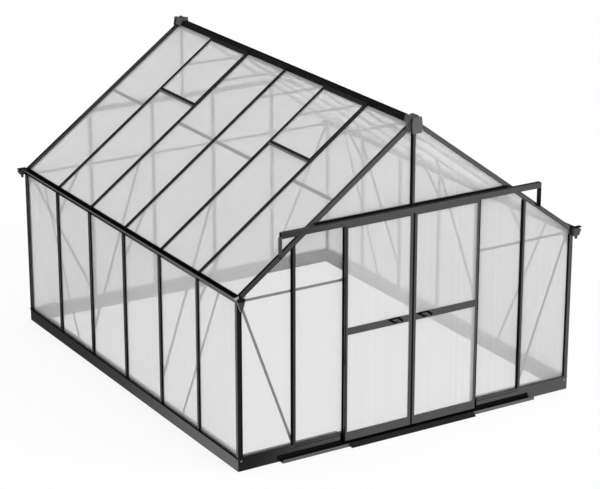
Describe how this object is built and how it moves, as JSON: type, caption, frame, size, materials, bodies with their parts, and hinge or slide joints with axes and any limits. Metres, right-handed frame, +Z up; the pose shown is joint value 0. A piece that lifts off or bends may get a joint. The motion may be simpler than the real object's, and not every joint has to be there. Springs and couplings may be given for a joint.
{
  "type": "greenhouse",
  "caption": "Gabled hobby greenhouse with a dark aluminium frame on a steel base, twin-wall polycarbonate panes, roof vents and two sliding doors.",
  "frame": {"origin": "on the ground, at the centre of the bounding box seen from above", "axes": "+Z up; +Y from the door gable to the back gable, so the doors face -Y; +X to the right for someone facing the doors"},
  "size_m": [3.271, 3.884, 2.595],
  "materials": {
    "frame_metal": "satin powder coat",
    "base_steel": "satin powder coat",
    "sheet": "translucent twin-wall",
    "cap_plastic": "matt",
    "black_plastic": "matt"
  },
  "bodies": {
    "house": {"base_left": "base_steel", "base_right": "base_steel", "base_front_left": "base_steel", "base_front_right": "base_steel", "base_back": "base_steel", "threshold": "base_steel", "wall_bars_left": "frame_metal", "wall_bars_right": "frame_metal", "front_posts_left": "frame_metal", "front_posts_right": "frame_metal", "back_posts": "frame_metal", "front_transom": "frame_metal", "back_transom": "frame_metal", "gutter_left": "frame_metal", "gutter_right": "frame_metal", "gutter_outlet_front": "black_plastic", "gutter_outlet_back": "black_plastic", "gable_rafters_left": "frame_metal", "gable_rafters_right": "frame_metal", "roof_bars_left": "frame_metal", "roof_bars_right": "frame_metal", "ridge_beam": "frame_metal", "ridge_cap_front": "cap_plastic", "ridge_cap_back": "cap_plastic", "cross_bars_left": "frame_metal", "cross_bars_right": "frame_metal", "bracing_front_left": "frame_metal", "bracing_front_right": "frame_metal", "bracing_back": "frame_metal", "bracing_left": "frame_metal", "bracing_right": "frame_metal", "frame_braces_left": "frame_metal", "frame_braces_right": "frame_metal", "collar_ties": "frame_metal", "door_track_top": "frame_metal", "track_stay_left": "frame_metal", "track_stay_right": "frame_metal", "door_track_bottom": "frame_metal", "threshold_ramp": "frame_metal", "wall_sheets_left": "sheet", "wall_sheets_right": "sheet", "front_sheets_left": "sheet", "front_sheets_right": "sheet", "front_sheets_top": "sheet", "back_sheets": "sheet", "roof_sheets_left": "sheet", "roof_sheets_right": "sheet", "vent_frames_left": "frame_metal", "vent_frames_right": "frame_metal", "vent_sheets_left": "sheet", "vent_sheets_right": "sheet"},
    "door_left": {"door_left_frame": "frame_metal", "door_left_sheets": "sheet", "door_left_handle": "black_plastic", "door_left_hangers": "black_plastic"},
    "door_right": {"door_right_frame": "frame_metal", "door_right_sheets": "sheet", "door_right_handle": "black_plastic", "door_right_hangers": "black_plastic"}
  },
  "joints": [
    {"name": "door_left_slide", "type": "slide", "parent": "house", "child": "door_left", "axis": [-1, 0, 0], "range_m": [0, 0.56]},
    {"name": "door_right_slide", "type": "slide", "parent": "house", "child": "door_right", "axis": [1, 0, 0], "range_m": [0, 0.56]}
  ]
}
